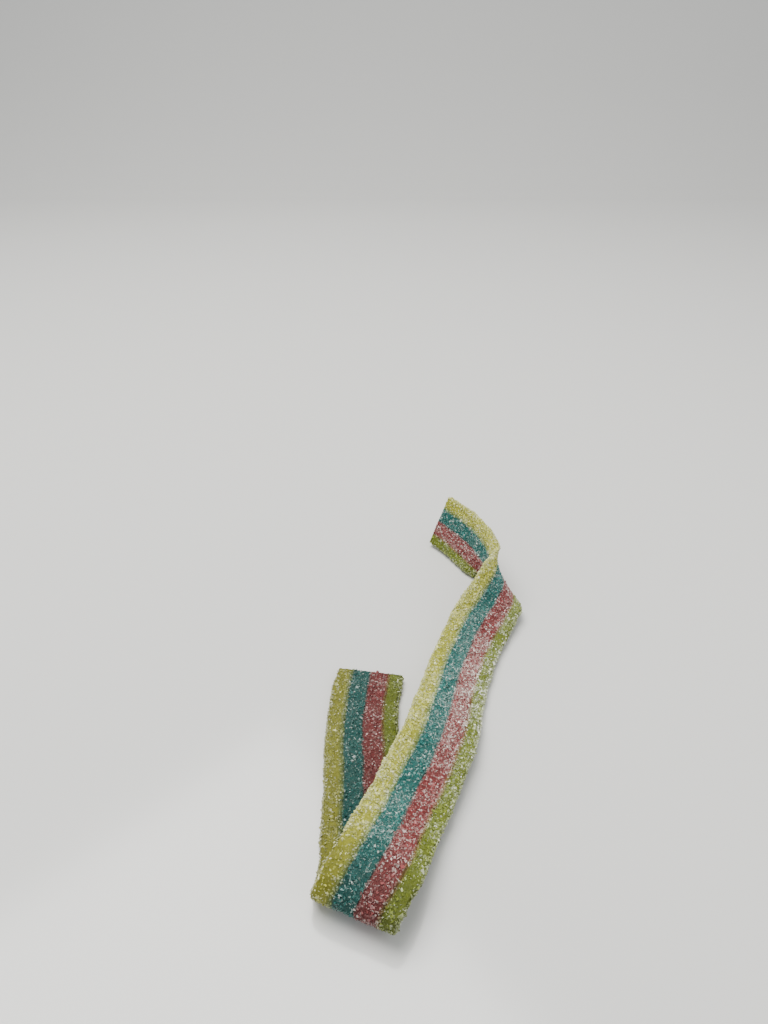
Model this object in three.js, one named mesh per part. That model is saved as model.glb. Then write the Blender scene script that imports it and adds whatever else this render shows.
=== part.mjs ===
// A four-stripe sour belt, lying loosely folded: a flat end, a soft U fold at the front, a long
// run back over it, and a slanted turn-over that leaves the far end leaning on its green edge.
// Millimetres, +Z up. The origin is at the middle of the belt's outline, on the surface it lies on.
import * as THREE from "three";

// Sizes of the belt, sugar included
const BELT_WIDTH = 18;
const BELT_THICKNESS = 2.5;
const STRAND_GAP = 0.3;

// The strands from the green edge to the yellow one, each with its share of the width
const STRANDS = [
  { name: "strand_green", share: 0.2, color: 0x9db04a },
  { name: "strand_red", share: 0.285, color: 0xb5606a },
  { name: "strand_blue", share: 0.27, color: 0x3f8a8e },
  { name: "strand_yellow", share: 0.245, color: 0xd0c679 },
];
const SUGARED_ROUGHNESS = 0.75;

// The belt narrows on its green side along the upper run, most at this distance along it
const WAIST = { at: 152, reach: 30, depth: 1.2 };

// How the belt lies, from its flat free end, in millimetres and degrees. Over a stretch the belt
// turns about its fold line, which lies across the belt and leans off square by skew (millimetres
// along for each one across), it sweeps sideways in its own plane, and it twists about its length.
const HEADING = -9.5;
const ROUTE = [
  { name: "flat end", length: 28, turn: 0, skew: 0, sweep: -13, twist: 0 },
  { name: "flat middle", length: 28, turn: 0, skew: 0, sweep: 3, twist: 0 },
  { name: "lift", length: 11, turn: 5, skew: 0, sweep: 9, twist: 0 },
  { name: "front fold", length: 8, turn: 121, skew: -0.5, sweep: 1, twist: 0 },
  { name: "fold crown", length: 9, turn: 75, skew: 0.3, sweep: 3, twist: 0 },
  { name: "run down", length: 12, turn: -5, skew: -0.05, sweep: 2, twist: 0 },
  { name: "first sag", length: 16, turn: -20, skew: 0.05, sweep: 1, twist: 0 },
  { name: "low swell", length: 20, turn: 21, skew: 0.05, sweep: 5, twist: 0 },
  { name: "long run", length: 24, turn: -17, skew: -0.35, sweep: -1, twist: -12 },
  { name: "run up", length: 16, turn: -10, skew: 0, sweep: -5, twist: 13 },
  { name: "turn-over start", length: 10, turn: -13, skew: -0.7, sweep: 0, twist: 10 },
  { name: "turn-over", length: 10, turn: 58, skew: 0.15, sweep: 14, twist: 39 },
  { name: "lean", length: 12, turn: -2, skew: -0.5, sweep: 0, twist: 41 },
  { name: "far end", length: 24, turn: 20, skew: 0, sweep: -6, twist: 6 },
];

// How far before and after a point its turning and its skew are averaged, so the route is smooth
const TURN_REACH = 4;
const SKEW_REACH = 6;

// Fineness: the walk along the route, and the sections by distance and by turn
const WALK_STEP = 0.5;
const SECTION_SPACING = 2;
const SECTION_TURN = 12;
const POINTS_ACROSS_FACE = 4;

// Sugar: the bumps it makes on the faces and edges, and the rounding of the long edges
const SUGAR_BUMP = 0.5;
const RAGGED_EDGE = 0.3;
const OUTER_EDGE = { inset: 0.55, drop: 0.35 };
const INNER_EDGE = { inset: 0.1, drop: 0.1 };

// Points lower than this are pressed flat by the belt's own weight
const PRESSED_BELOW = 0.3;

const radians = THREE.MathUtils.degToRad;

// Repeatable random numbers from 0 to 1
function seededRandom(seed) {
  let state = seed;
  return () => {
    state = (Math.imul(state, 1664525) + 1013904223) >>> 0;
    return state / 4294967296;
  };
}

// A value of the route at distance s, averaged over the stretches within reach
function blended(valueOf, s, reach) {
  let sum = 0;
  let start = 0;
  for (const stretch of ROUTE) {
    const end = start + stretch.length;
    const overlap = Math.min(end, s + reach) - Math.max(start, s - reach);
    if (overlap > 0) sum += valueOf(stretch) * overlap;
    start = end;
  }
  return sum / (2 * reach);
}

const skewAt = (s) => blended((stretch) => stretch.skew, s, SKEW_REACH);
const turnRateAt = (s) => blended((stretch) => radians(stretch.turn) / stretch.length, s, TURN_REACH);
const sweepRateAt = (s) => blended((stretch) => radians(stretch.sweep) / stretch.length, s, TURN_REACH);
const twistRateAt = (s) => blended((stretch) => radians(stretch.twist) / stretch.length, s, TURN_REACH);

// Distances along the belt at which a section is made, closer together where it turns more
function sectionDistances() {
  const distances = [0];
  let start = 0;
  for (const stretch of ROUTE) {
    const byDistance = stretch.length / SECTION_SPACING;
    const byTurn = Math.abs(stretch.turn) / SECTION_TURN;
    const count = Math.ceil(Math.max(byDistance, byTurn));
    for (let i = 1; i <= count; i += 1) distances.push(start + (stretch.length * i) / count);
    start += stretch.length;
  }
  return distances;
}

// The belt's axes before it sets out: along it, across it to the yellow edge, and out of its face
function startingAxes() {
  const heading = radians(HEADING);
  const along = new THREE.Vector3(Math.sin(heading), -Math.cos(heading), 0);
  const across = new THREE.Vector3(-Math.cos(heading), -Math.sin(heading), 0);
  const out = new THREE.Vector3().crossVectors(along, across);
  return new THREE.Quaternion().setFromRotationMatrix(new THREE.Matrix4().makeBasis(along, across, out));
}

// The axes after a short step at distance s
function turned(axes, s, step) {
  const turn = turnRateAt(s) * step;
  const spin = new THREE.Vector3(skewAt(s), 1, 0).normalize().multiplyScalar(turn);
  spin.x += twistRateAt(s) * step;
  spin.z = sweepRateAt(s) * step;
  const angle = spin.length();
  return axes.clone().multiply(new THREE.Quaternion().setFromAxisAngle(spin.normalize(), angle));
}

// Sections along the belt: the middle point, the slanted direction across, and the way out
function walkRoute() {
  const middle = new THREE.Vector3(0, 0, BELT_THICKNESS / 2);
  let axes = startingAxes();
  let from = 0;
  return sectionDistances().map((to) => {
    const steps = Math.ceil((to - from) / WALK_STEP);
    for (let i = 0; i < steps; i += 1) {
      const step = (to - from) / steps;
      const s = from + (i + 0.5) * step;
      const midway = turned(axes, s, step / 2);
      middle.addScaledVector(new THREE.Vector3(1, 0, 0).applyQuaternion(midway), step);
      axes = turned(axes, s, step);
    }
    from = to;
    const across = new THREE.Vector3(skewAt(to), 1, 0).applyQuaternion(axes);
    const out = new THREE.Vector3(0, 0, 1).applyQuaternion(axes);
    return { s: to, middle: middle.clone(), across, out };
  });
}

// Where each strand starts and ends across the belt, with half the gap taken off where two meet
function strandSpans() {
  let start = -BELT_WIDTH / 2;
  return STRANDS.map((strand, i) => {
    const end = start + strand.share * BELT_WIDTH;
    const first = i === 0;
    const last = i === STRANDS.length - 1;
    const span = {
      low: first ? start : start + STRAND_GAP / 2,
      high: last ? end : end - STRAND_GAP / 2,
      lowEdge: first ? OUTER_EDGE : INNER_EDGE,
      highEdge: last ? OUTER_EDGE : INNER_EDGE,
    };
    start = end;
    return span;
  });
}

// How far a place across the belt moves in at distance s, all of it at the green edge
function waistShift(s, across) {
  const away = Math.min(Math.abs(s - WAIST.at) / WAIST.reach, 1);
  const towardGreen = (BELT_WIDTH / 2 - across) / BELT_WIDTH;
  return WAIST.depth * (1 - away ** 2) ** 2 * towardGreen;
}

// A strand's outline in one section, going round from the high side over the face that points out
function strandOutline(span, random) {
  const face = [];
  for (let i = 0; i < POINTS_ACROSS_FACE; i += 1) {
    const t = i / (POINTS_ACROSS_FACE - 1);
    const low = span.low + span.lowEdge.inset;
    const high = span.high - span.highEdge.inset;
    const drop = i === 0 ? span.lowEdge.drop : i === POINTS_ACROSS_FACE - 1 ? span.highEdge.drop : 0;
    face.push({ across: low + (high - low) * t, drop });
  }
  const height = (drop) => (BELT_THICKNESS - SUGAR_BUMP) / 2 + SUGAR_BUMP * random() - drop;
  const ragged = (edge) => (edge === OUTER_EDGE ? RAGGED_EDGE * (random() - 0.5) : 0);
  return [
    [span.high + ragged(span.highEdge), 0],
    ...face.toReversed().map((point) => [point.across, height(point.drop)]),
    [span.low + ragged(span.lowEdge), 0],
    ...face.map((point) => [point.across, -height(point.drop)]),
  ];
}

// The point of a section at a place in its outline, pressed flat where the belt rests
function placed(section, [across, out]) {
  const place = across + waistShift(section.s, across);
  const point = section.middle.clone().addScaledVector(section.across, place);
  point.addScaledVector(section.out, out);
  if (point.z < PRESSED_BELOW) point.z = 0;
  return point;
}

// A cut end, as a fan round the section's middle that faces forward or back along the belt
function capTriangles(centre, firstOfRing, ringSize, forward) {
  const triangles = [];
  for (let j = 0; j < ringSize; j += 1) {
    const here = firstOfRing + j;
    const next = firstOfRing + ((j + 1) % ringSize);
    triangles.push(centre, forward ? here : next, forward ? next : here);
  }
  return triangles;
}

// The skin between two neighbouring rings
function bandTriangles(firstOfRing, ringSize) {
  const triangles = [];
  for (let j = 0; j < ringSize; j += 1) {
    const a = firstOfRing + j;
    const b = firstOfRing + ((j + 1) % ringSize);
    triangles.push(a, b, b + ringSize, a, b + ringSize, a + ringSize);
  }
  return triangles;
}

// A strand as one closed solid through the belt's thickness and along its whole length
function strandGeometry(sections, span, seed) {
  const random = seededRandom(seed);
  const rings = sections.map((section) => {
    return strandOutline(span, random).map((place) => placed(section, place));
  });
  const ringSize = rings[0].length;
  const lastRing = (rings.length - 1) * ringSize;
  const middleOf = (section) => placed(section, [(span.low + span.high) / 2, 0]);
  const points = [...rings.flat(), middleOf(sections[0]), middleOf(sections.at(-1))];
  const index = [
    ...capTriangles(rings.length * ringSize, 0, ringSize, false),
    ...capTriangles(rings.length * ringSize + 1, lastRing, ringSize, true),
  ];
  for (let i = 0; i < rings.length - 1; i += 1) index.push(...bandTriangles(i * ringSize, ringSize));
  const geometry = new THREE.BufferGeometry().setFromPoints(points);
  geometry.setIndex(index);
  geometry.computeVertexNormals();
  return geometry;
}

function sourBelt() {
  const belt = new THREE.Group();
  const sections = walkRoute();
  const spans = strandSpans();
  STRANDS.forEach((strand, i) => {
    const material = new THREE.MeshStandardMaterial({
      color: strand.color,
      roughness: SUGARED_ROUGHNESS,
      metalness: 0,
    });
    const mesh = new THREE.Mesh(strandGeometry(sections, spans[i], i + 1), material);
    mesh.name = strand.name;
    belt.add(mesh);
  });
  const middle = new THREE.Box3().setFromObject(belt, true).getCenter(new THREE.Vector3());
  belt.position.set(-middle.x, -middle.y, 0);
  return belt;
}

export default sourBelt();
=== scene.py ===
import math

import bpy
import numpy as np
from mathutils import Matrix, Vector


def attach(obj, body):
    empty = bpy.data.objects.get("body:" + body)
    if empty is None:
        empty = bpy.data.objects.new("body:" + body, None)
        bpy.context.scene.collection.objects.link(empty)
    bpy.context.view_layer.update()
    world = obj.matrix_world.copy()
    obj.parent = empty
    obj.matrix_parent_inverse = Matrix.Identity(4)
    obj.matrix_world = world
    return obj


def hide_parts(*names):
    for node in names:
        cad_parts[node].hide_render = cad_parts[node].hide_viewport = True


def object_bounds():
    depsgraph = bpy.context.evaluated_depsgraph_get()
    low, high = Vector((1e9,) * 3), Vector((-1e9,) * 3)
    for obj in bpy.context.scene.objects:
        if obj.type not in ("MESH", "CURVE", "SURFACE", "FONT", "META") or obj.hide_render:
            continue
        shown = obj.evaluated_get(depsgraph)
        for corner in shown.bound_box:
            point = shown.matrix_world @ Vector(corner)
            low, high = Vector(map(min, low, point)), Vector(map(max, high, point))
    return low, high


bl_info = {
    "name": "Sour belt",
    "version": (1, 0, 0),
    "blender": (4, 5, 0),
    "location": "3D View > Sidebar > Sour belt",
    "description": "A four-stripe sour belt with its coat of sugar crystals, on a plain surface",
    "category": "Object",
}

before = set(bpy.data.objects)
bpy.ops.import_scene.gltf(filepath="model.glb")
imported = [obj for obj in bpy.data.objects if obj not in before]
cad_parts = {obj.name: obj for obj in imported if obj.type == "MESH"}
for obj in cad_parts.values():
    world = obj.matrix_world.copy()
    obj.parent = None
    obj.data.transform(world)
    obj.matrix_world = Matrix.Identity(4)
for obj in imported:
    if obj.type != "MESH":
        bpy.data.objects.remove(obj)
CAD_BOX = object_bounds()
MM = 0.001

# The belt's strands from the green edge to the yellow one: their shares of its width, how white
# the sugar looks on them, and how far that white is gathered in a few bright crystals
STRANDS = (
    {"name": "green", "share": 0.2, "white": 0.64, "glitter": 4.0},
    {"name": "red", "share": 0.285, "white": 1.0, "glitter": 3.5},
    {"name": "blue", "share": 0.27, "white": 0.68, "glitter": 5.0},
    {"name": "yellow", "share": 0.245, "white": 1.1, "glitter": 2.0},
)

# The belt narrows on its green side along the upper run, most at this distance, in millimetres
WAIST = {"at": 152, "reach": 30, "depth": 1.2}

# How the belt lies, as its CAD solids do: each stretch's length in millimetres, its turn in degrees
# about a fold line that leans by skew, its sideways sweep and its twist in degrees
HEADING = -9.5
ROUTE = (
    {"name": "flat end", "length": 28, "turn": 0, "skew": 0, "sweep": -13, "twist": 0},
    {"name": "flat middle", "length": 28, "turn": 0, "skew": 0, "sweep": 3, "twist": 0},
    {"name": "lift", "length": 11, "turn": 5, "skew": 0, "sweep": 9, "twist": 0},
    {"name": "front fold", "length": 8, "turn": 121, "skew": -0.5, "sweep": 1, "twist": 0},
    {"name": "fold crown", "length": 9, "turn": 75, "skew": 0.3, "sweep": 3, "twist": 0},
    {"name": "run down", "length": 12, "turn": -5, "skew": -0.05, "sweep": 2, "twist": 0},
    {"name": "first sag", "length": 16, "turn": -20, "skew": 0.05, "sweep": 1, "twist": 0},
    {"name": "low swell", "length": 20, "turn": 21, "skew": 0.05, "sweep": 5, "twist": 0},
    {"name": "long run", "length": 24, "turn": -17, "skew": -0.35, "sweep": -1, "twist": -12},
    {"name": "run up", "length": 16, "turn": -10, "skew": 0, "sweep": -5, "twist": 13},
    {"name": "turn-over start", "length": 10, "turn": -13, "skew": -0.7, "sweep": 0, "twist": 10},
    {"name": "turn-over", "length": 10, "turn": 58, "skew": 0.15, "sweep": 14, "twist": 39},
    {"name": "lean", "length": 12, "turn": -2, "skew": -0.5, "sweep": 0, "twist": 41},
    {"name": "far end", "length": 24, "turn": 20, "skew": 0, "sweep": -6, "twist": 6},
)
TURN_REACH = 4
SKEW_REACH = 6
WALK_STEP = 0.5
# Where the middle of the flat end's cut lies, in millimetres
START = (-17.389, 1.774, 1.25)
BELT_LENGTH = sum(stretch["length"] for stretch in ROUTE)

# Fineness of a strand's skin, in millimetres
ALONG_STEP = 0.5
ACROSS_STEP = 0.34

# The skin's lumps, and how far it keeps off the surface that it lies on, in millimetres; lumps rise
# only on the faces, above this part of the half thickness, and each is averaged with two others
SKIN_LUMPS = 0.05
SKIN_FLOOR = 0.02
LUMPY_PART = 0.6
LUMP_AVERAGING = 1.73
# How far the sugar stands above both faces together, in grains
SUGAR_STANDS = 1.2

# The rounding of the belt's long edges, in millimetres, and how much of what stands above it is
# tucked in at the outermost
EDGE_ROUND = 0.75
EDGE_TUCK = 0.55
# How far seams and edges wander and in what waves, in millimetres; the thickness wanders by a part
# of itself
SEAM_WANDER = 0.2
EDGE_WANDER = 0.25
EDGE_WAVE = 21
THICKNESS_WANDER = 0.05
THICKNESS_WAVE = 34

# Seeds of the random draws
THICKNESS_SEED = 11
SKIN_SEED = 100
SUGAR_SEED = 500

# How far colour runs over each seam, in millimetres: back into the strand before it and on into
# the next, from the green edge's seam to the yellow's
SEAM_BLEED = ((0.5, 0.7), (0.25, 0.25), (0.35, 1.4))

# The rings of a cut face, as parts of the section's size, and how uneven the blade leaves them in
# millimetres
CUT_RINGS = (0.86, 0.62, 0.36)
CUT_UNEVEN = 0.06

# How far the sugar is rubbed off or dissolved, and how deep the gummy's painted shade lies, at
# distances in millimetres: most on the flat end, less round the front fold, and not beyond it
RUBBED_AND_SHADED_AT = (58, 74, 80, 92)
RUBBED_AND_SHADED = (1.25, 1.0, 1.0, 0.0)
# How much less sugar a rubbed place keeps, how much darker its gummy is painted as shade, and how
# much less white its sugar
RUBBED_COVER = 0.5
PAINTED_SHADE_DEPTH = 0.3
RUBBED_WHITE = 0.35
# Painted shade: the flat end is darker still towards its yellow edge, which fades out before this
# distance
PAINTED_SHADE_SIDE = {"up_to": 74, "fade": 16, "slope": 0.75}

# How much of the skin the sugar covers, at distances in millimetres
COVER_AT = (0, 70, 80, 100, 112, 124, 138, 156, 172, 200, 228)
COVER = (0.9, 0.8, 0.8, 0.82, 0.7, 0.8, 1.0, 0.9, 0.8, 0.75, 0.5)
# Its thick and thin patches: the part of the cover that they change, their waves' seed, number,
# lengths in millimetres and evenness
PATCHES = {"share": 0.65, "seed": 7, "waves": 10, "lengths": (4, 14), "evenness": 7}

# Sugar has drifted along the green side of the upper run: where, how far, how many times whiter it
# is there, how much white it adds, and how it thins out across the belt from its middle
DRIFT = {"at": 144, "reach": 46, "extra": 1.3, "added": 0.07, "middle": 0.28, "across": 1.5}

# The skin is drawn in a little so that the sugar on it keeps within the plain solids' box
DRAWN_IN = (0.99, 0.9955, 0.973)

# The sugar's white, the frost that it leaves where it dissolves, and how thinly its dust lies on
# the skin
SUGAR_WHITE = "ecede2"
FROST_TONE = "c4c7b4"
SKIN_DUST = 0.04
# How much brighter a crystal looks than the gummy that it sits in, and how that varies
GRAIN_GLOW = 1.6
GLOW_RANGE = (0.6, 1.4)
# A crystal's own white: the least, what comes on top on average, and more on the outer edges
WHITE_LEAST = 0.03
WHITE_SPREAD = 0.16
WHITE_ON_EDGES = 0.1

# Grains stuck to each cut end of a strand, this far in from its seams in millimetres, and over
# this part of its thickness
CUT_GRAINS = 45
CUT_MARGIN = 0.2
CUT_FACE_PART = 0.85
# How far grains stray over the seams, and stand out from the belt's edges, in millimetres
GRAIN_STRAY = 0.12
EDGE_STAND = (-0.05, 0.15)
# How many times as thickly they cling to the edges
EDGE_CLING = 1.4
# A side is what lies within this part of the half thickness. It is a seam where it comes this near
# to one, in millimetres, and then has no grains.
SIDE_PART = 0.9
SEAM_REACH = 0.02
# The grains' sizes in millimetres, their spread, how they are drawn out, and their worn corners
GRAIN_LIMITS = (0.15, 0.8)
GRAIN_SPREAD = 0.3
GRAIN_STRETCH = ((0.9, 0.6, 0.6), (1.7, 1.2, 1.2))
GRAIN_WEAR = (0.7, 1.1)

# A grain is a three-sided bar: six corners and eight triangles
GRAIN_CORNERS = np.array([
    [end, math.cos(turn), math.sin(turn)] for end in (-1, 1) for turn in (0.3, 2.4, 4.5)
])
GRAIN_FACES = np.array([
    [0, 2, 1], [3, 4, 5], [0, 1, 4], [0, 4, 3], [1, 2, 5], [1, 5, 4], [2, 0, 3], [2, 3, 5],
])

# The photograph's viewpoint, in metres and degrees below level, and its lens
CAMERA_PLACE = (-0.01346, -0.15609, 0.14764)
CAMERA_PITCH = 30.92
PHONE_LENS = 27.03

# The surface under the belt and the sweep behind it, in millimetres
SURFACE_REACH = 8000
SWEEP_START = 800
SWEEP_RADIUS = 600
SWEEP_TOP = 2000


# Numbers and shapes


def linear(hex_colour):
    """An sRGB colour such as "c8b27d" as linear RGBA."""
    values = [int(hex_colour[i:i + 2], 16) / 255 for i in (0, 2, 4)]
    rgb = (v / 12.92 if v <= 0.04045 else ((v + 0.055) / 1.055) ** 2.4 for v in values)
    return (*rgb, 1.0)


def blended(key, s, reach, per_length):
    """A route value at distances s, averaged over the stretches within reach."""
    total = np.zeros_like(s)
    start = 0.0
    for stretch in ROUTE:
        end = start + stretch["length"]
        value = stretch[key] / stretch["length"] if per_length else stretch[key]
        overlap = np.minimum(end, s + reach) - np.maximum(start, s - reach)
        total += value * np.clip(overlap, 0, None)
        start = end
    return total / (2 * reach)


def rotation(spin):
    """The rotation matrix of a small turn about the vector spin."""
    angle = np.linalg.norm(spin)
    if angle < 1e-12:
        return np.eye(3)
    x, y, z = spin / angle
    cross = np.array([[0, -z, y], [z, 0, -x], [-y, x, 0]])
    return np.eye(3) + math.sin(angle) * cross + (1 - math.cos(angle)) * cross @ cross


class BeltPath:
    """The belt's middle line with its axes, in millimetres, placed over the CAD solids."""

    def __init__(self, width):
        self.width = width
        self.s = np.linspace(0, BELT_LENGTH, round(BELT_LENGTH / WALK_STEP) + 1)
        step = self.s[1] - self.s[0]
        half_way = (self.s[:-1] + self.s[1:]) / 2
        self.skew = blended("skew", self.s, SKEW_REACH, False)
        skew = blended("skew", half_way, SKEW_REACH, False)
        turn, sweep, twist = (
            np.radians(blended(key, half_way, TURN_REACH, True)) * step
            for key in ("turn", "sweep", "twist")
        )
        square = 1 / np.sqrt(1 + skew ** 2)
        spins = np.stack([turn * skew * square + twist, turn * square, sweep], axis=1)
        heading = math.radians(HEADING)
        along = np.array([math.sin(heading), -math.cos(heading), 0])
        across = np.array([-math.cos(heading), -math.sin(heading), 0])
        axes = np.stack([along, across, np.cross(along, across)], axis=1)
        middle = np.array(START)
        middles, frames = [middle], [axes]
        for spin in spins:
            middle = middle + (axes @ rotation(spin / 2))[:, 0] * step
            axes = axes @ rotation(spin)
            middles.append(middle)
            frames.append(axes)
        self.middle = np.array(middles)
        self.along, self.across, self.out = np.moveaxis(np.array(frames), 2, 0)
        self.across = self.across + self.skew[:, None] * self.along

    def at(self, s, across, out):
        """Points at distances s, that far across and out."""
        away = np.clip(np.abs(s - WAIST["at"]) / WAIST["reach"], 0, 1)
        toward_green = (self.width / 2 - across) / self.width
        across = across + WAIST["depth"] * (1 - away ** 2) ** 2 * toward_green

        def sample(values):
            return np.stack([np.interp(s, self.s, values[:, i]) for i in range(3)], axis=-1)

        place = sample(self.middle) + across[..., None] * sample(self.across)
        return (place + out[..., None] * sample(self.out)) * np.array(DRAWN_IN)


def wander(s, seed, length):
    """A smooth wavering from -1 to 1 along s, with waves of about that length."""
    rng = np.random.default_rng(seed)
    value = np.zeros_like(s)
    for octave, weight in ((1, 0.5), (2.3, 0.3), (4.7, 0.2)):
        value = value + weight * np.sin(2 * np.pi * s * octave / length + rng.uniform(0, 6.28))
    return value


class StrandShape:
    """One strand's section all along the belt."""

    def __init__(self, index, settings):
        self.index = index
        self.path = settings.path
        self.width = settings.width
        self.half = settings.half_thickness
        starts = np.cumsum([0] + [strand["share"] for strand in STRANDS]) - 0.5
        self.low, self.high = starts[index] * self.width, starts[index + 1] * self.width
        self.first = index == 0
        self.last = index == len(STRANDS) - 1

    def bounds(self, s):
        """Where the strand starts and ends across the belt at distances s."""
        low_wander = EDGE_WANDER if self.first else SEAM_WANDER
        high_wander = EDGE_WANDER if self.last else SEAM_WANDER
        low = self.low + low_wander * wander(s, self.index, EDGE_WAVE)
        high = self.high + high_wander * wander(s, self.index + 1, EDGE_WAVE)
        return low, high

    def section(self, s, t):
        """Across and out at distances s and at parts t of the way round the section, 0 to 1."""
        low, high = self.bounds(s)
        width = high - low
        around = 2 * width + 4 * self.half
        run = t * around
        half = self.half * (1 + THICKNESS_WANDER * wander(s, THICKNESS_SEED, THICKNESS_WAVE))
        top = run < width
        low_side = (run >= width) & (run < width + 2 * self.half)
        bottom = (run >= width + 2 * self.half) & (run < 2 * width + 2 * self.half)
        stretches = [top, low_side, bottom]
        across = np.select(stretches, [high - run, low, low + run - width - 2 * self.half], high)
        side_run = np.where(low_side, run - width, run - 2 * width - 2 * self.half) / (2 * self.half)
        falling, rising = half * (1 - 2 * side_run), half * (2 * side_run - 1)
        out = np.select(stretches, [half, falling, -half], rising)
        return self.rounded(across, out, low, high, half)

    def rounded(self, across, out, low, high, half):
        """Pulls the belt's own long edges in to a round, and leaves a strand's seams square."""
        for is_edge, edge, inward in ((self.first, low, 1), (self.last, high, -1)):
            if not is_edge:
                continue
            depth = np.clip(1 - (across - edge) * inward / EDGE_ROUND, 0, 1)
            limit = half - EDGE_ROUND * (1 - np.sqrt(1 - depth ** 2))
            height = np.abs(out)
            over = np.clip(height - limit, 0, None)
            out = np.sign(out) * np.minimum(height, np.maximum(limit, 0))
            across = across + inward * np.where(depth >= 1, EDGE_TUCK * over, 0)
        return across, out


# Materials


def add_node(tree, kind, settings=None, inputs=None, links=None):
    """A shader node with its settings, its inputs' values, and links from other nodes' outputs."""
    node = tree.nodes.new(kind)
    for name, value in (settings or {}).items():
        setattr(node, name, value)
    for name, value in (inputs or {}).items():
        node.inputs[name].default_value = value
    for name, source in (links or {}).items():
        tree.links.new(source, node.inputs[name])
    return node


def new_material(name):
    """An empty node material with its output, as its tree and the output's surface socket."""
    material = bpy.data.materials.new(name)
    material.use_nodes = True
    material.node_tree.nodes.clear()
    output = add_node(material.node_tree, "ShaderNodeOutputMaterial")
    return material, material.node_tree, output


def gummy_material(colour_name):
    """Starch gummy, extruded and sugared while moist: soft, slightly see-through, with a dull wet
    shine, and clouded where fine sugar has dissolved into its skin. Its pigments have run a
    little into the next strand's."""
    material, tree, output = new_material(f"sugared_gummy_{colour_name}")
    place = add_node(tree, "ShaderNodeTexCoord")
    # The point colours hold the strands' pigments and the painted shade of the flat end and front
    # fold
    pigment = add_node(tree, "ShaderNodeVertexColor", settings={"layer_name": "pigment"})
    # Darker, wetter patches about 2 mm across, so 500 to the metre
    patches = add_node(tree, "ShaderNodeTexNoise", inputs={"Scale": 500, "Detail": 3},
                       links={"Vector": place.outputs["Object"]})
    depth = add_node(
        tree, "ShaderNodeMapRange",
        inputs={"From Min": 0.35, "From Max": 0.65, "To Min": 0.72, "To Max": 1.0},
        links={"Value": patches.outputs["Fac"]})
    deep = add_node(tree, "ShaderNodeVectorMath", settings={"operation": "SCALE"},
                    links={"Vector": pigment.outputs["Color"], "Scale": depth.outputs["Result"]})
    # A frost of dissolved sugar in specks about 0.3 mm apart, so 3300 to the metre
    specks = add_node(tree, "ShaderNodeTexNoise", inputs={"Scale": 3300, "Detail": 2},
                      links={"Vector": place.outputs["Object"]})
    frost = add_node(
        tree, "ShaderNodeMapRange",
        inputs={"From Min": 0.45, "From Max": 0.75, "To Min": 0.0, "To Max": 0.07},
        links={"Value": specks.outputs["Fac"]})
    tone = add_node(tree, "ShaderNodeMixRGB", inputs={"Color2": linear(FROST_TONE)},
                    links={"Fac": frost.outputs["Result"], "Color1": deep.outputs["Vector"]})
    bump = add_node(tree, "ShaderNodeBump", inputs={"Strength": 0.7, "Distance": 0.15 * MM},
                    links={"Height": specks.outputs["Fac"]})
    shader = add_node(
        tree, "ShaderNodeBsdfPrincipled",
        inputs={"Roughness": 0.85, "IOR": 1.36, "Subsurface Weight": 0.3,
                "Subsurface Scale": 1.0 * MM, "Subsurface Radius": (1.0, 0.8, 0.6)},
        links={"Base Color": tone.outputs["Color"], "Normal": bump.outputs["Normal"]})
    tree.links.new(shader.outputs["BSDF"], output.inputs["Surface"])
    return material


def sugar_material():
    """Granulated sugar, sieved on: broken clear crystals that look white where light gathers in
    them, and show the gummy's colour where they are thin or half dissolved. Each crystal's own
    colour, with the painted shade of the flat end and front fold, is painted on its corners."""
    material, tree, output = new_material("granulated_sugar_sieved")
    pigment = add_node(tree, "ShaderNodeVertexColor", settings={"layer_name": "pigment"})
    shader = add_node(
        tree, "ShaderNodeBsdfPrincipled", inputs={"Roughness": 0.2, "IOR": 1.54},
        links={"Base Color": pigment.outputs["Color"]})
    tree.links.new(shader.outputs["BSDF"], output.inputs["Surface"])
    return material


def surface_material():
    """Satin white laminate: pale, even, with a faint soft shine."""
    material, tree, output = new_material("satin_white_laminate")
    shader = add_node(tree, "ShaderNodeBsdfPrincipled",
                      inputs={"Base Color": linear("e7e6e4"), "Roughness": 0.14, "IOR": 1.5})
    tree.links.new(shader.outputs["BSDF"], output.inputs["Surface"])
    return material


# Meshes


def mesh_object(name, points, faces, material, smooth):
    """An object made from arrays, in millimetres, and finished with one material."""
    mesh = bpy.data.meshes.new(name)
    mesh.from_pydata((np.asarray(points) * MM).tolist(), [], faces)
    mesh.validate()
    mesh.materials.append(material)
    mesh.polygons.foreach_set("use_smooth", [smooth] * len(mesh.polygons))
    piece = bpy.data.objects.new(name, mesh)
    bpy.context.scene.collection.objects.link(piece)
    return piece


def paint(piece, colours):
    """Keeps a colour for each point of a piece, for its material."""
    layer = piece.data.color_attributes.new("pigment", "FLOAT_COLOR", "POINT")
    opaque = np.column_stack([colours, np.ones(len(colours))])
    layer.data.foreach_set("color", opaque.ravel())


def strand_colours(context):
    """The user's four gummy colours, as linear RGB."""
    return [tuple(getattr(context.scene.sour_belt_colours, strand["name"])) for strand in STRANDS]


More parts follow.
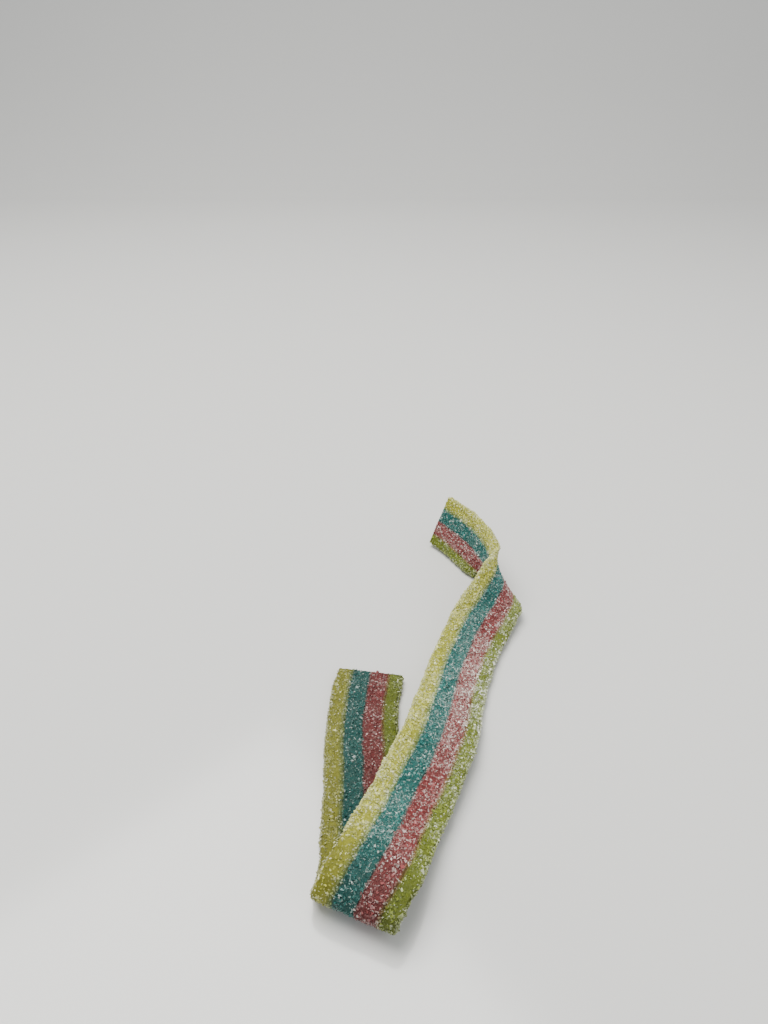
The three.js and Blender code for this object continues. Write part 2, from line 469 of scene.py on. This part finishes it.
def strand_mesh(shape, settings):
    """A strand's skin as a closed mesh, lumpy with the sugar under its surface: its points and
    faces, and each point's places across and along the belt."""
    low, high = shape.bounds(np.array([0.0]))
    around = 2 * (high - low)[0] + 4 * shape.half
    count = round(around / ACROSS_STEP)
    stations = np.linspace(0, BELT_LENGTH, round(BELT_LENGTH / ALONG_STEP) + 1)
    s = np.repeat(stations[:, None], count, axis=1)
    t = np.repeat((np.arange(count)[None, :] + 0.5) / count, len(stations), axis=0)
    across, out = shape.section(s, t)
    rng = np.random.default_rng(SKIN_SEED + shape.index)
    lumps = rng.normal(0, 1, out.shape)
    lumps = (lumps + np.roll(lumps, 1, 0) + np.roll(lumps, 1, 1)) / LUMP_AVERAGING
    out = out + np.sign(out) * SKIN_LUMPS * lumps * (np.abs(out) > LUMPY_PART * shape.half)
    s, across, out = with_cut_faces(s, across, out, rng)
    points = shape.path.at(s, across, out)
    points[..., 2] = np.maximum(points[..., 2], SKIN_FLOOR)
    rows, columns = points.shape[:2]
    index = np.arange(rows * columns).reshape(rows, columns)
    beside = np.roll(index, -1, axis=1)
    faces = np.stack([index[:-1], beside[:-1], beside[1:], index[1:]], axis=-1)
    faces = faces.reshape(-1, 4).tolist()
    faces.append(index[0][::-1].tolist())
    faces.append(index[-1].tolist())
    return points.reshape(-1, 3), faces, across.reshape(-1), s.reshape(-1)


def with_cut_faces(s, across, out, rng):
    """Adds shrinking rings at both ends, slightly uneven as a blade leaves them."""
    for at_start in (True, False):
        row = 0 if at_start else -1
        ring_s, ring_across, ring_out = s[row], across[row], out[row]
        middle = (ring_across.max() + ring_across.min()) / 2
        for scale in CUT_RINGS:
            uneven = rng.normal(0, CUT_UNEVEN, ring_s.shape)
            ring = (ring_s + uneven, middle + scale * (ring_across - middle), scale * ring_out)
            parts = [(added[None], whole) for added, whole in zip(ring, (s, across, out))]
            order = slice(None) if at_start else slice(None, None, -1)
            s, across, out = (np.concatenate(part[order]) for part in parts)
    return s, across, out


def shaded_pigments(shape, s, across, colours):
    """Each point's colour: its strand's own, run into the next strand's near a seam, darkened by
    painted shade over the flat end and front fold, and dusted.
    """
    own = np.array(colours[shape.index])
    mixed = np.tile(own, (len(across), 1))
    low, high = shape.bounds(s)
    for is_edge, seam, other, side in ((shape.first, low, -1, 1), (shape.last, high, 1, 0)):
        if is_edge:
            continue
        bleed = SEAM_BLEED[shape.index - side][side]
        near = np.clip(1 - np.abs(across - seam) / bleed, 0, 1)
        near = 0.5 * (near * near * (3 - 2 * near))[:, None]
        mixed = mixed * (1 - near) + np.array(colours[shape.index + other]) * near
    # Painted shade: the gummy is darkened over the flat end and round the front fold, more towards
    # the flat end's yellow edge
    on_flat_end = np.clip((PAINTED_SHADE_SIDE["up_to"] - s) / PAINTED_SHADE_SIDE["fade"], 0, 1)
    painted_shade = rubbed_and_shaded(s) * (1 + PAINTED_SHADE_SIDE["slope"] * on_flat_end * across / shape.width)
    mixed = mixed * (1 - PAINTED_SHADE_DEPTH * painted_shade[:, None])
    return dusted(mixed, SKIN_DUST * sugaring(s, across))


def dusted(colours, amounts):
    """Colours with that much of the sugar's white light laid over them."""
    return 1 - (1 - colours) * (1 - np.array(linear(SUGAR_WHITE)[:3]) * amounts[:, None])


def drifted(s, across, width):
    """How much whiter the sugar is where it has drifted, along the green side of the upper run."""
    away = np.clip(np.abs(s - DRIFT["at"]) / DRIFT["reach"], 0, 1)
    side = np.clip(DRIFT["middle"] - DRIFT["across"] * across / width, 0, 1)
    return DRIFT["extra"] * (1 - away ** 2) ** 2 * side


def rubbed_and_shaded(s):
    """How far the sugar has been rubbed off or has dissolved at distance s, and how deep the painted
    shade lies there.
    """
    return np.interp(s, RUBBED_AND_SHADED_AT, RUBBED_AND_SHADED)


def sugaring(s, across):
    """How thickly sugar clings at a place on the belt, from 0 to 1."""
    patchy = 1 - PATCHES["share"] + PATCHES["share"] * patchiness(s, across)
    return patchy * np.interp(s, COVER_AT, COVER) * (1 - RUBBED_COVER * np.minimum(rubbed_and_shaded(s), 1))


def patchiness(s, across):
    """A smooth uneven field over the belt, from 0 to 1."""
    rng = np.random.default_rng(PATCHES["seed"])
    value = np.zeros_like(s)
    for _ in range(PATCHES["waves"]):
        turn = rng.uniform(0, math.pi)
        length = rng.uniform(*PATCHES["lengths"])
        start = rng.uniform(0, 2 * math.pi)
        run = s * math.cos(turn) + across * math.sin(turn)
        value += np.cos(2 * math.pi * run / length + start)
    return np.clip(0.5 + value / PATCHES["evenness"], 0, 1)


def grain_places(shape, count, rng):
    """Seeded places of sugar grains over a strand's outer faces, as distance, across and out."""
    tried = 4 * count
    s = rng.uniform(0, BELT_LENGTH, tried)
    across, out = shape.section(s, rng.uniform(0, 1, tried))
    low, high = shape.bounds(s)
    on_low_seam = (across <= low + SEAM_REACH) & (not shape.first)
    on_high_seam = (across >= high - SEAM_REACH) & (not shape.last)
    side = np.abs(out) < SIDE_PART * shape.half
    inner = (on_low_seam | on_high_seam) & side
    chance = sugaring(s, across) * np.where(side, EDGE_CLING, 1)
    kept = np.flatnonzero(~inner & (rng.uniform(0, 1, tried) < chance))[:count]
    strayed = across[kept] + rng.normal(0, GRAIN_STRAY, len(kept)) * ~side[kept]
    strayed = strayed + np.sign(strayed) * rng.uniform(*EDGE_STAND, len(kept)) * side[kept]
    cut_s = np.repeat((0.0, BELT_LENGTH), CUT_GRAINS)
    cut_across = rng.uniform(shape.low + CUT_MARGIN, shape.high - CUT_MARGIN, len(cut_s))
    cut_out = rng.uniform(-CUT_FACE_PART, CUT_FACE_PART, len(cut_s)) * shape.half
    pairs = ((s[kept], cut_s), (strayed, cut_across), (out[kept], cut_out))
    return (np.concatenate(pair) for pair in pairs)


def sugar_mesh(shape, settings, colours):
    """A strand's grains of sugar, as one mesh of small turned bars that sink into its skin: its
    points, faces, and the colour of each point."""
    rng = np.random.default_rng(SUGAR_SEED + shape.index)
    share = (shape.high - shape.low) / shape.width
    s, across, out = grain_places(shape, round(settings.grains * share), rng)
    points = shape.path.at(s, across, out)
    count = len(s)
    size = rng.lognormal(math.log(settings.grain_size), GRAIN_SPREAD, count)
    size = np.clip(size, *GRAIN_LIMITS) / 2
    stretch = rng.uniform(*GRAIN_STRETCH, (count, 3))
    corners = GRAIN_CORNERS[None] * (size[:, None, None] * stretch[:, None, :])
    corners = corners * rng.uniform(*GRAIN_WEAR, (count, len(GRAIN_CORNERS), 1))
    turns = np.linalg.qr(rng.normal(0, 1, (count, 3, 3)))[0]
    turns[:, :, 0] *= np.sign(np.linalg.det(turns))[:, None]
    corners = np.einsum("nij,nkj->nki", turns, corners)
    placed = points[:, None, :] + corners
    low, high = np.array(CAD_BOX[0]) / MM, np.array(CAD_BOX[1]) / MM
    fits = ((placed >= low) & (placed <= high)).all(axis=(1, 2))
    placed = placed[fits]
    faces = GRAIN_FACES[None] + len(GRAIN_CORNERS) * np.arange(len(placed))[:, None, None]
    whiteness = crystal_whiteness(shape, s, across, rng)
    # Light from within the gummy brightens each crystal in its strand's colour, which carries the
    # painted shade
    glow = GRAIN_GLOW * rng.uniform(*GLOW_RANGE, (count, 1)) * shaded_pigments(shape, s, across, colours)
    grain_colours = np.repeat(dusted(glow, whiteness)[fits], len(GRAIN_CORNERS), axis=0)
    return placed.reshape(-1, 3), faces.reshape(-1, 3).tolist(), grain_colours


def crystal_whiteness(shape, s, across, rng):
    """How white each crystal is: most are nearly clear and a few bright, as the strand's glitter
    says, less where it is rubbed, and more on the belt's edges and in the drift."""
    strand = STRANDS[shape.index]
    glitter = strand["glitter"]
    bright = WHITE_SPREAD * (glitter + 1) * rng.uniform(0, 1, len(s)) ** glitter
    whiteness = WHITE_LEAST + bright * (1 - RUBBED_WHITE * rubbed_and_shaded(s))
    whiteness = whiteness + WHITE_ON_EDGES * (np.abs(across) > shape.width / 2 - EDGE_ROUND)
    drift = drifted(s, across, shape.width)
    return whiteness * strand["white"] * (1 + drift) + DRIFT["added"] * drift


# What a user can change


class SourBeltSizes(bpy.types.PropertyGroup):
    """The belt's sizes and its sugar"""
    width: bpy.props.FloatProperty(
        name="Belt width", description="Across all four strands", default=18 * MM, unit="LENGTH")
    thickness: bpy.props.FloatProperty(
        name="Thickness", description="Through the gummy and its sugar", default=2.5 * MM,
        unit="LENGTH")
    grain_size: bpy.props.FloatProperty(
        name="Grain size", description="A middling sugar grain", default=0.36 * MM, unit="LENGTH")
    grains: bpy.props.IntProperty(
        name="Grains", description="Sugar grains over the whole belt", default=85000, min=0)


class SourBeltColours(bpy.types.PropertyGroup):
    """The colours of the four strands"""
    green: bpy.props.FloatVectorProperty(
        name="Green", description="The green strand's gummy", subtype="COLOR", size=3,
        min=0, max=1, default=linear("67720d")[:3])
    red: bpy.props.FloatVectorProperty(
        name="Red", description="The red strand's gummy", subtype="COLOR", size=3,
        min=0, max=1, default=linear("752729")[:3])
    blue: bpy.props.FloatVectorProperty(
        name="Blue", description="The blue strand's gummy", subtype="COLOR", size=3,
        min=0, max=1, default=linear("035853")[:3])
    yellow: bpy.props.FloatVectorProperty(
        name="Yellow", description="The yellow strand's gummy", subtype="COLOR", size=3,
        min=0, max=1, default=linear("9c9c27")[:3])


class BeltSettings:
    """The user's sizes in millimetres, with the path that they give."""

    def __init__(self, context):
        sizes = context.scene.sour_belt_sizes
        self.width = sizes.width / MM
        self.thickness = sizes.thickness / MM
        self.grain_size = sizes.grain_size / MM
        self.grains = sizes.grains
        # The sugar stands a little over half a grain above the gummy on each face
        self.half_thickness = (self.thickness - SUGAR_STANDS * self.grain_size) / 2
        self.path = BeltPath(self.width)


# Operators


class SOURBELT_OT_strands(bpy.types.Operator):
    """Make the four gummy strands and let them stand for the plain CAD ones"""
    bl_idname = "sour_belt.strands"
    bl_label = "Gummy strands"

    def execute(self, context):
        settings = BeltSettings(context)
        colours = strand_colours(context)
        for index, strand in enumerate(STRANDS):
            colour_name = strand["name"]
            shape = StrandShape(index, settings)
            points, faces, across, s = strand_mesh(shape, settings)
            material = gummy_material(colour_name)
            piece = mesh_object(f"gummy_{colour_name}", points, faces, material, True)
            paint(piece, shaded_pigments(shape, s, across, colours))
            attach(piece, "root")
            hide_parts(f"strand_{colour_name}")
        return {"FINISHED"}


class SOURBELT_OT_sugar(bpy.types.Operator):
    """Strew the sugar crystals over the strands"""
    bl_idname = "sour_belt.sugar"
    bl_label = "Sugar crystals"

    def execute(self, context):
        settings = BeltSettings(context)
        colours = strand_colours(context)
        material = sugar_material()
        for index, strand in enumerate(STRANDS):
            colour_name = strand["name"]
            shape = StrandShape(index, settings)
            points, faces, grain_colours = sugar_mesh(shape, settings, colours)
            piece = mesh_object(f"sugar_on_{colour_name}", points, faces, material, False)
            paint(piece, grain_colours)
            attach(piece, "root")
        return {"FINISHED"}


class SOURBELT_OT_stage(bpy.types.Operator):
    """Make the pale surface, the soft lights and the camera"""
    bl_idname = "sour_belt.stage"
    bl_label = "Surface, lights and camera"

    def execute(self, context):
        make_surface()
        make_lights(context)
        make_camera(context)
        return {"FINISHED"}


def make_surface():
    """A large pale surface under the belt that sweeps up behind it."""
    profile = [(-SURFACE_REACH, 0), (SWEEP_START, 0)]
    for turn in np.radians(np.arange(5, 91, 5)):
        back = SWEEP_START + SWEEP_RADIUS * math.sin(turn)
        profile.append((back, SWEEP_RADIUS * (1 - math.cos(turn))))
    profile.append((SWEEP_START + SWEEP_RADIUS, SWEEP_TOP))
    points = [(side * SURFACE_REACH, y, z) for y, z in profile for side in (-1, 1)]
    faces = [(2 * i, 2 * i + 1, 2 * i + 3, 2 * i + 2) for i in range(len(profile) - 1)]
    mesh_object("pale_surface", points, faces, surface_material(), True)


def make_lights(context):
    """A broad soft light from above and behind, a weak fill, and a pale room."""
    world = bpy.data.worlds.new("pale_room")
    world.use_nodes = True
    background = world.node_tree.nodes["Background"]
    background.inputs["Color"].default_value = linear("eef1f2")
    background.inputs["Strength"].default_value = 0.68
    context.scene.world = world
    # Each light's name, place and target in metres, size in metres, power in watts and colour
    lights = (
        ("ceiling_light", (-0.2, 0.2, 0.9), (-0.01, 0.0, 0.0), 0.7, 13.4, "fbfaf5"),
        ("room_fill", (0.5, -0.4, 0.5), (0.0, 0.0, 0.0), 0.6, 1.5, "f3f6fa"),
    )
    for name, place, target, size, power, colour in lights:
        light = bpy.data.lights.new(name, "AREA")
        light.size = size
        light.energy = power
        light.color = linear(colour)[:3]
        lamp = bpy.data.objects.new(name, light)
        lamp.location = place
        aim = np.array(target) - np.array(place)
        lamp.rotation_euler = look_angles(aim)
        context.scene.collection.objects.link(lamp)


def look_angles(aim):
    """Euler angles that turn a camera or lamp, which looks along -Z, towards aim."""
    flat = math.hypot(aim[0], aim[1])
    return (math.atan2(flat, -aim[2]), 0.0, math.atan2(-aim[0], aim[1]))


def make_camera(context):
    """A phone's main camera where the photograph was taken from."""
    data = bpy.data.cameras.new("phone_camera")
    data.lens = PHONE_LENS
    data.sensor_width = 36
    data.clip_start = 0.005
    camera = bpy.data.objects.new("phone_camera", data)
    camera.location = CAMERA_PLACE
    camera.rotation_euler = (math.radians(90 - CAMERA_PITCH), 0, 0)
    context.scene.collection.objects.link(camera)
    context.scene.camera = camera


class SOURBELT_PT_panel(bpy.types.Panel):
    """The belt's sizes, colours and steps"""
    bl_idname = "SOURBELT_PT_panel"
    bl_label = "Sour belt"
    bl_space_type = "VIEW_3D"
    bl_region_type = "UI"
    bl_category = "Sour belt"

    def draw(self, context):
        for group in (context.scene.sour_belt_sizes, context.scene.sour_belt_colours):
            for name in group.bl_rna.properties.keys():
                if name not in ("rna_type", "name"):
                    self.layout.prop(group, name)
        for operator in OPERATORS:
            self.layout.operator(operator.bl_idname)


OPERATORS = (SOURBELT_OT_strands, SOURBELT_OT_sugar, SOURBELT_OT_stage)
CLASSES = (SourBeltSizes, SourBeltColours, *OPERATORS, SOURBELT_PT_panel)


def register():
    """Adds the classes and the two groups of settings."""
    for cls in CLASSES:
        bpy.utils.register_class(cls)
    bpy.types.Scene.sour_belt_sizes = bpy.props.PointerProperty(type=SourBeltSizes)
    bpy.types.Scene.sour_belt_colours = bpy.props.PointerProperty(type=SourBeltColours)


def unregister():
    """Takes them out again."""
    del bpy.types.Scene.sour_belt_colours
    del bpy.types.Scene.sour_belt_sizes
    for cls in reversed(CLASSES):
        bpy.utils.unregister_class(cls)


def main():
    """Makes the whole scene."""
    register()
    bpy.ops.sour_belt.strands()
    bpy.ops.sour_belt.sugar()
    bpy.ops.sour_belt.stage()


if __name__ == "__main__":
    main()
